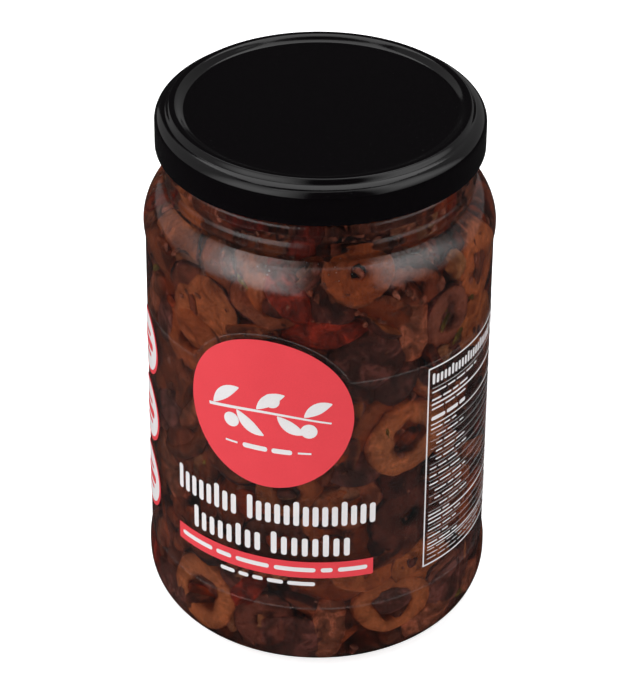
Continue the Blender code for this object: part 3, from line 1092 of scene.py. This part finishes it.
def makeSprig(ink):
    # a plain sprig of leaves and three round fruits across the red field
    stem = [(-13.5 + 27.0 * i / 24, 66.2 + 1.6 * math.sin(math.pi * i / 24)) for i in range(25)]
    ink.stroke(stem, lambda t: 0.75 - 0.35 * t)
    for k, t in enumerate((0.08, 0.26, 0.44, 0.62, 0.8)):
        s, z = stem[int(t * 24)]
        side = 1 if k % 2 == 0 else -1
        ink.leaf((s, z + side * 0.5), 8.2 - 0.4 * k, side * (38 - 3 * k), 2.7, 0.12 * side)
    for k, t in enumerate((0.2, 0.5, 0.8)):
        s, z = stem[int(t * 24)]
        ink.disc(s + 1.0, z + (-3.0 if k != 1 else 3.1), 1.75, steps=30)
    ink.bar(-9.4, -6.6, 58.3, 58.75)
    ink.bar(6.6, 9.4, 58.3, 58.75)
    words(ink, (5, 4), -5.4, 5.4, 57.9, 59.1, 0.9)


panel = {
    "left": 35.2,
    "right": 77.0,
    "low": 23.4,
    "top": 74.6,
    "frame": 0.34,
    "inset": 1.2,
    "thin": 0.72,
}


def makePanel(ink):
    # a framed table of facts: rules and short bars
    p = panel
    f = p["frame"]
    for z in (p["top"] - f, p["low"]):
        ink.bar(p["left"], p["right"], z, z + f)
    for side in (p["left"], p["right"] - f):
        ink.grid([[(s, z) for z in (p["low"] + f, p["top"] - f)] for s in (side, side + f)])
    s0, s1 = p["left"] + p["inset"], p["right"] - p["inset"]
    z = p["top"] - 5.4
    words(ink, (9, 5), s0, s1 - 1, z + 1.1, z + 3.3, 1.4, 0.7)
    # each row: its height, height of its print, share of the width, thickness of the rule under it, indent
    rows = [(2.0, 0.55, 0.4, 0.0, 0), (2.4, 0.65, 0.3, 0.6, 0)]
    rows += [(2.0, 0.55, 0.28, 0.0, 0), (3.2, 1.3, 0.28, 0.4, 0)]
    shares = ((0.2, 0), (0.27, 1), (0.21, 1), (0.3, 1), (0.32, 1), (0.23, 0), (0.25, 0), (0.31, 0),
              (0.27, 1), (0.27, 1), (0.33, 2))
    rows += [(2.1, 0.5, share, 0.08, indent) for share, indent in shares]
    rows += [(2.1, 0.5, 0.18, 0.5, 0)]
    rows += [(1.9, 0.45, share, 0.08, 0) for share in (0.27, 0.23, 0.16)] + [(1.9, 0.45, 0.25, 0.4, 0)]
    rows += [(1.2, 0.24, share, 0.0, 0) for share in (0.92, 0.88, 0.5)]
    fit = (z - p["low"] - 1.0) / sum(row[0] for row in rows)
    ink.bar(s0, s1, z, z + 0.1)
    for high, mark, share, rule, indent in rows:
        mark, rule = mark * p["thin"], rule * p["thin"]
        z -= high * fit
        left = s0 + 1.6 * indent
        end = s0 + (s1 - s0) * share
        base = z + (high * fit - mark + rule) / 2
        while left < end - 0.8:
            wide = rng.uniform(1.6, 4.2)
            ink.bar(left, min(left + wide, end), base, base + mark, mark * 0.3)
            left += wide + 0.55
        if 0 < rule < 0.1:
            ink.bar(s1 - 3.2, s1 - 0.6, base, base + mark, mark * 0.3)
        if rule:
            ink.bar(s0, s1, z, z + rule)


makeGlass()
print("glass done")
makeBrine()
makeLid()
print("brine and lid done")
makeCore()
makeOlives()
makeFilm()
makeLabel()
print("label done")


studio = {
    "world": 0.03,
    "floorShade": 0.93,
    "floorGlow": 0.55,
    "floorSeen": 0.72,
    "lampAimZ": 0.08,         # metres
    "turn": 16.6,             # degrees from the front of the label towards +X
    "tilt": 33.3,
    "distance": 704.2,
    "lens": 169.25,
    "roll": 0.55,
    "aimZ": 60.3,
    "aimRight": 0.31,
    "aimUp": 0.81,
}


def makeFloor():
    half = 4.0
    verts = [(x * half, y * half, 0.0) for x, y in ((-1, -1), (1, -1), (1, 1), (-1, 1))]
    mesh = bpy.data.meshes.new("floor")
    mesh.from_pydata(verts, [], [(0, 1, 2, 3)])
    mat, nt, bsdf, out = newMaterial("paleFloor")
    # a dark surround is all that gloss shows of it, also after a turn through the glass
    path = addNode(nt, "LightPath").outputs
    seenInGloss = mathNode(nt, "MULTIPLY", mathNode(nt, "GREATER_THAN", path["Glossy Depth"], 0.5),
                           mathNode(nt, "LESS_THAN", path["Diffuse Depth"], 0.5))
    shade, glow, seen = ((studio[label],) * 3 for label in ("floorShade", "floorGlow", "floorSeen"))
    glow = mixColor(nt, path["Is Camera Ray"], glow, seen)
    feed(nt, bsdf, {"Base Color": mixColor(nt, seenInGloss, shade, (0.02, 0.02, 0.02)),
                    "Emission Color": mixColor(nt, seenInGloss, glow, (0.0, 0.0, 0.0)),
                    "Emission Strength": 1.0, "Roughness": 0.9, "Specular IOR Level": 0.0})
    mesh.materials.append(mat)
    floor = bpy.data.objects.new("floor", mesh)
    floor.location.z = -0.0002
    bpy.context.scene.collection.objects.link(floor)


def direction(azimuth, elevation):
    # azimuth from the front of the label towards +X
    a, e = math.radians(azimuth), math.radians(elevation)
    return Vector((math.sin(a) * math.cos(e), -math.cos(a) * math.cos(e), math.sin(e)))


def softbox(name, azimuth, elevation, distance, wide, high, glow, upright=False):
    # azimuth is from the camera's own direction, positive to its right; glow is the brightness of its face
    data = bpy.data.lights.new(name, "AREA")
    data.shape = "RECTANGLE"
    data.size, data.size_y = wide, high
    data.energy = glow * math.pi * wide * high
    lamp = bpy.data.objects.new(name, data)
    target = Vector((0, 0, studio["lampAimZ"]))
    lamp.location = target + direction(azimuth + studio["turn"], elevation) * distance
    if upright:
        target.z = lamp.location.z
    lamp.rotation_euler = (target - lamp.location).to_track_quat("-Z", "Y").to_euler()
    bpy.context.scene.collection.objects.link(lamp)
    return lamp


def makeStudio():
    scene = bpy.context.scene
    world = bpy.data.worlds.new("studio")
    world.use_nodes = True
    nt = world.node_tree
    # a white backdrop that lights very little
    strength = mathNode(nt, "MAXIMUM", addNode(nt, "LightPath").outputs["Is Camera Ray"], studio["world"])
    feed(nt, nt.nodes["Background"], {"Color": (1.0, 1.0, 1.0), "Strength": strength})
    scene.world = world
    scene.view_settings.view_transform = "Standard"
    # each side light is nested standing panels, so its edges fade out: inner edge in degrees from the
    # camera's direction, width, bottom and top in metres, glow
    panels = {
        "left": (-1, ((10, 1.35, 0.1, 2.3, 0.45), (15, 1.15, 0.13, 1.9, 0.4), (20, 0.95, 0.16, 1.5, 0.35),
                      (26, 0.7, 0.2, 1.15, 0.35), (32, 0.5, 0.25, 0.85, 0.3), (80, 1.3, 0.1, 1.9, 0.4))),
        "right": (1, ((36, 1.35, 0.13, 2.3, 0.45), (41, 1.15, 0.22, 2.0, 0.4), (46, 0.95, 0.34, 1.75, 0.35),
                      (51, 0.75, 0.46, 1.5, 0.3), (57, 0.5, 0.6, 1.25, 0.3), (108, 1.1, 0.1, 1.9, 0.3))),
    }
    for side, (sign, rows) in panels.items():
        for inner, wide, low, high, glow in rows:
            away = 0.97 - 0.02 * wide
            azimuth = sign * (inner + math.degrees(math.atan(wide / 2 / away)))
            up = (low + high) / 2 - studio["lampAimZ"]
            softbox(side + "Softbox", azimuth, math.degrees(math.atan2(up, away)), math.hypot(up, away),
                    wide, high - low, glow, True)
    softbox("rimLight", 13, 70, 1.5, 1.5, 0.22, 0.9)
    softbox("topLight", 180, 72, 1.6, 1.4, 1.2, 1.7)
    for side, azimuth, glow in (("back", 180, 1.6), ("left", -75, 1.1)):
        softbox(side + "Fill", azimuth, 32, 1.8, 1.2, 1.2, glow).visible_glossy = False


def makeCamera():
    d = studio
    data = bpy.data.cameras.new("camera")
    data.lens = d["lens"]
    data.sensor_width = 36
    camera = bpy.data.objects.new("camera", data)
    back = direction(d["turn"], d["tilt"])
    right = direction(d["turn"] + 90, 0)
    up = right.cross(-back)
    middle = Vector((0, 0, d["aimZ"] * mm))
    spot = middle + back * d["distance"] * mm
    aim = middle + right * d["aimRight"] * mm + up * d["aimUp"] * mm
    look = (aim - spot).normalized()
    side = look.cross(Vector((0, 0, 1))).normalized()
    rotation = Matrix((side, side.cross(look), -look)).transposed()
    rotation = rotation @ Matrix.Rotation(math.radians(d["roll"]), 3, "Z")
    camera.matrix_world = Matrix.LocRotScale(spot, rotation, None)
    bpy.context.scene.collection.objects.link(camera)
    bpy.context.scene.camera = camera


makeFloor()
makeStudio()
makeCamera()
print("studio done")
